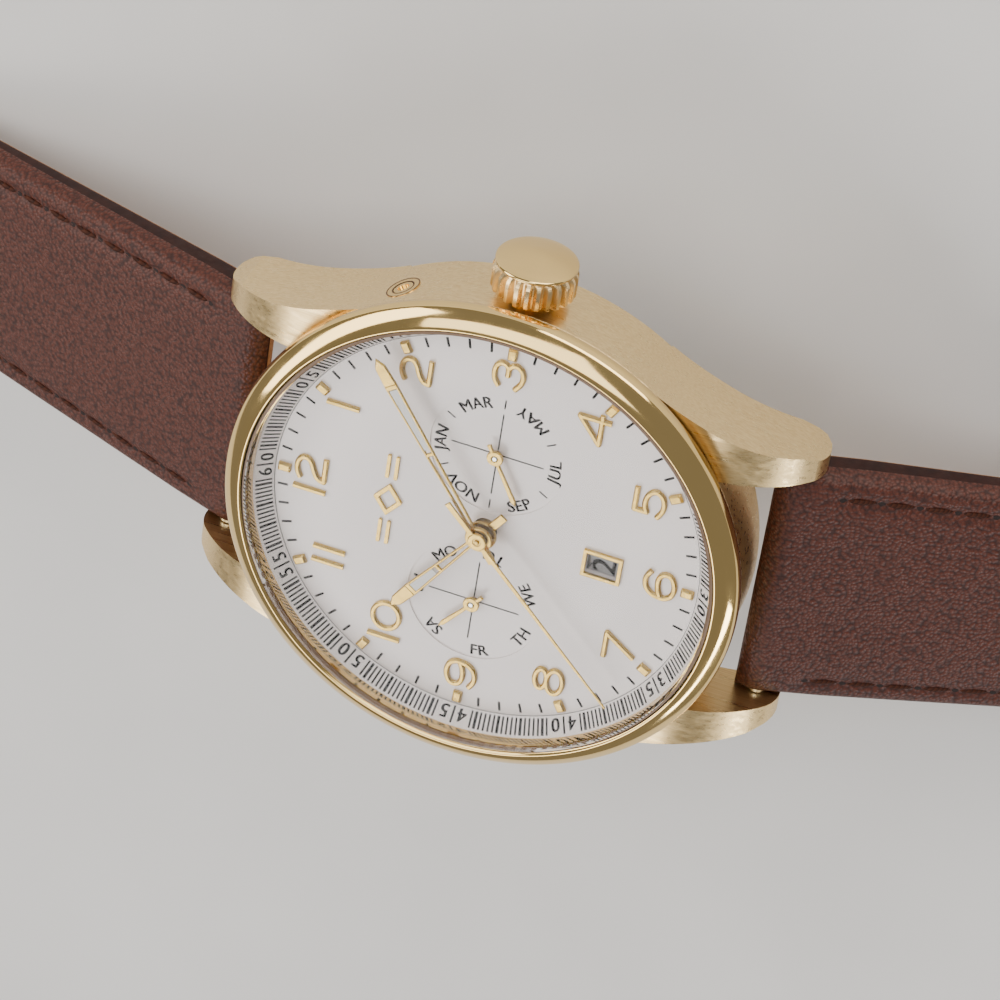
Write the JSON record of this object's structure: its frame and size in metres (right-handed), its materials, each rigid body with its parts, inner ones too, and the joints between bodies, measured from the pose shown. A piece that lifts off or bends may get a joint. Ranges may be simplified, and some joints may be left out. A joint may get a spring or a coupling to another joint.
{
  "type": "wristwatch",
  "caption": "Automatic calendar wristwatch with month, weekday and date displays, on a two-piece leather strap with a pin buckle.",
  "frame": {"origin": "centre of the case back rest face", "axes": "+Z out of the dial, +Y towards 12 o'clock, +X towards the crown at 3 o'clock"},
  "size_m": [0.0453, 0.2384, 0.0239],
  "materials": {
    "gold_polished": "mirror polished gold plating on stainless steel",
    "gold_brushed": "fine brushed gold plating on stainless steel",
    "gold_applied": "polished gold plated brass appliques and hands",
    "crystal_clear": "clear mineral glass",
    "gasket_black": "black nitrile rubber",
    "gasket_clear": "white nylon crystal gasket",
    "dial_silver": "satin silver-cream lacquer, black printing",
    "date_white": "light grey lacquer, black printing",
    "lume_white": "white luminous paint",
    "rhodium": "rhodium plated brass with stripes",
    "brass_wheel": "gilt brass wheels",
    "steel_polished": "polished steel arbors, screws and springs",
    "blued_steel": "blued steel",
    "ruby": "synthetic ruby",
    "holder_grey": "moulded plastic",
    "leather_brown": "brown calf leather, tone stitching, tan lining"
  },
  "bodies": {
    "case": {"mid_case": "gold_brushed", "bezel": "gold_polished", "crystal": "crystal_clear", "crystal_gasket": "gasket_clear", "scale_ring": "dial_silver", "case_back_ring": "gold_brushed", "case_back_gasket": "gasket_black", "case_back_glass": "crystal_clear", "crown_tube": "gold_polished", "corrector_sleeve": "gold_polished", "dial": "dial_silver", "hour_numerals": "gold_applied", "hour_markers": "gold_applied", "date_frame": "gold_applied", "emblem": "gold_applied", "main_plate": "rhodium", "movement_holder": "holder_grey", "barrel_bridge": "rhodium", "train_bridge": "rhodium", "balance_cock": "rhodium", "jewels": "ruby", "bridge_screws": "blued_steel", "casing_clamps": "steel_polished", "rotor_bearing": "steel_polished", "spring_bars": "steel_polished"},
    "hour": {"hour_hand": "gold_applied", "hour_lume": "lume_white"},
    "minute": {"minute_hand": "gold_applied", "minute_lume": "lume_white", "centre_wheel": "brass_wheel"},
    "seconds": {"seconds_hand": "gold_applied", "fourth_wheel": "brass_wheel"},
    "third": {"third_wheel": "brass_wheel"},
    "escape": {"escape_wheel": "steel_polished"},
    "barrel": {"mainspring_barrel": "brass_wheel", "mainspring": "steel_polished"},
    "ratchet": {"ratchet_wheel": "steel_polished"},
    "pallet": {"pallet_fork": "steel_polished"},
    "balance": {"balance_wheel": "brass_wheel", "hairspring": "blued_steel"},
    "month": {"month_hand": "gold_applied", "month_star": "brass_wheel"},
    "weekday": {"weekday_hand": "gold_applied", "weekday_star": "brass_wheel"},
    "date": {"date_disc": "date_white"},
    "winding_rotor": {"rotor": "rhodium"},
    "setting_slide": {"setting_lever": "steel_polished"},
    "crown_group": {"crown": "gold_polished", "crown_gasket": "gasket_black", "winding_stem": "steel_polished", "clutch_wheel": "steel_polished"},
    "corrector": {"corrector_pusher": "gold_polished"},
    "strap_buckle": {"strap_buckle_half": "leather_brown", "fixed_keeper": "leather_brown"},
    "strap_holes": {"strap_hole_half": "leather_brown"},
    "buckle": {"buckle_frame": "gold_polished", "buckle_bar": "steel_polished"},
    "tongue": {"buckle_tongue": "gold_polished"},
    "loose_keeper": {"free_keeper": "leather_brown"}
  },
  "joints": [
    {"name": "minute_turn", "type": "hinge", "parent": "case", "child": "minute", "pos_m": [0, 0, 0.0101], "axis": [0, 0, -1], "continuous": true},
    {"name": "hour_turn", "type": "hinge", "parent": "case", "child": "hour", "pos_m": [0, 0, 0.0095], "axis": [0, 0, -1], "continuous": true},
    {"name": "seconds_turn", "type": "hinge", "parent": "case", "child": "seconds", "pos_m": [0, 0, 0.0105], "axis": [0, 0, -1], "continuous": true},
    {"name": "third_turn", "type": "hinge", "parent": "case", "child": "third", "pos_m": [-0.00078, -0.00443, 0.0044], "axis": [0, 0, -1], "continuous": true},
    {"name": "escape_turn", "type": "hinge", "parent": "case", "child": "escape", "pos_m": [0.00396, -0.00106, 0.0041], "axis": [0, 0, -1], "continuous": true},
    {"name": "barrel_turn", "type": "hinge", "parent": "case", "child": "barrel", "pos_m": [-0.00428, 0.00428, 0.0041], "axis": [0, 0, -1], "continuous": true},
    {"name": "ratchet_turn", "type": "hinge", "parent": "case", "child": "ratchet", "pos_m": [-0.00428, 0.00428, 0.0025], "axis": [0, 0, -1], "continuous": true},
    {"name": "month_turn", "type": "hinge", "parent": "case", "child": "month", "pos_m": [0.00711, 0, 0.009], "axis": [0, 0, -1], "continuous": true},
    {"name": "weekday_turn", "type": "hinge", "parent": "case", "child": "weekday", "pos_m": [-0.00711, 0, 0.009], "axis": [0, 0, -1], "continuous": true},
    {"name": "date_turn", "type": "hinge", "parent": "case", "child": "date", "pos_m": [0, 0, 0.008], "axis": [0, 0, -1], "continuous": true},
    {"name": "rotor_turn", "type": "hinge", "parent": "case", "child": "winding_rotor", "pos_m": [0, 0, 0.0022], "axis": [0, 0, -1], "continuous": true},
    {"name": "pallet_rock", "type": "hinge", "parent": "case", "child": "pallet", "pos_m": [0.00463, -0.00357, 0.0041], "axis": [0, 0, 1], "range_deg": [-6, 6]},
    {"name": "balance_swing", "type": "hinge", "parent": "case", "child": "balance", "pos_m": [0.00541, -0.00647, 0.0037], "axis": [0, 0, 1], "range_deg": [-270, 270], "stiffness_Nm_per_rad": 0.00000014},
    {"name": "crown_pull", "type": "slide", "parent": "case", "child": "setting_slide", "axis": [1, 0, 0], "range_m": [0, 0.0012]},
    {"name": "crown_turn", "type": "hinge", "parent": "setting_slide", "child": "crown_group", "pos_m": [0.022, 0, 0.0059], "axis": [1, 0, 0], "continuous": true},
    {"name": "corrector_push", "type": "slide", "parent": "case", "child": "corrector", "axis": [-0.8704, -0.4924, 0], "range_m": [0, 0.0008], "stiffness_N_per_m": 1500, "springref_m": -0.0001},
    {"name": "strap_buckle_swing", "type": "hinge", "parent": "case", "child": "strap_buckle", "pos_m": [0, 0.0224, 0.0031], "axis": [1, 0, 0], "range_deg": [-60, 45]},
    {"name": "strap_holes_swing", "type": "hinge", "parent": "case", "child": "strap_holes", "pos_m": [0, -0.0224, 0.0031], "axis": [-1, 0, 0], "range_deg": [-60, 45]},
    {"name": "buckle_swing", "type": "hinge", "parent": "strap_buckle", "child": "buckle", "pos_m": [0, 0.092, -0.00975], "axis": [1, 0, 0], "range_deg": [-60, 40]},
    {"name": "tongue_swing", "type": "hinge", "parent": "buckle", "child": "tongue", "pos_m": [0, 0.092, -0.00975], "axis": [1, 0, 0], "range_deg": [0, 90]},
    {"name": "keeper_slide", "type": "slide", "parent": "strap_buckle", "child": "loose_keeper", "axis": [0, 1, 0], "range_m": [-0.007, 0.0032]}
  ],
  "couplings": [
    {"joint": "hour_turn", "follows": "minute_turn", "ratio": 0.083333},
    {"joint": "seconds_turn", "follows": "minute_turn", "ratio": 60},
    {"joint": "third_turn", "follows": "minute_turn", "ratio": -8},
    {"joint": "escape_turn", "follows": "minute_turn", "ratio": -720},
    {"joint": "barrel_turn", "follows": "minute_turn", "ratio": -0.16667},
    {"joint": "ratchet_turn", "follows": "crown_turn", "ratio": -0.35},
    {"joint": "weekday_turn", "follows": "minute_turn", "ratio": 0.0059524},
    {"joint": "date_turn", "follows": "minute_turn", "ratio": 0.0013441},
    {"joint": "month_turn", "follows": "minute_turn", "ratio": 0.00011201}
  ]
}
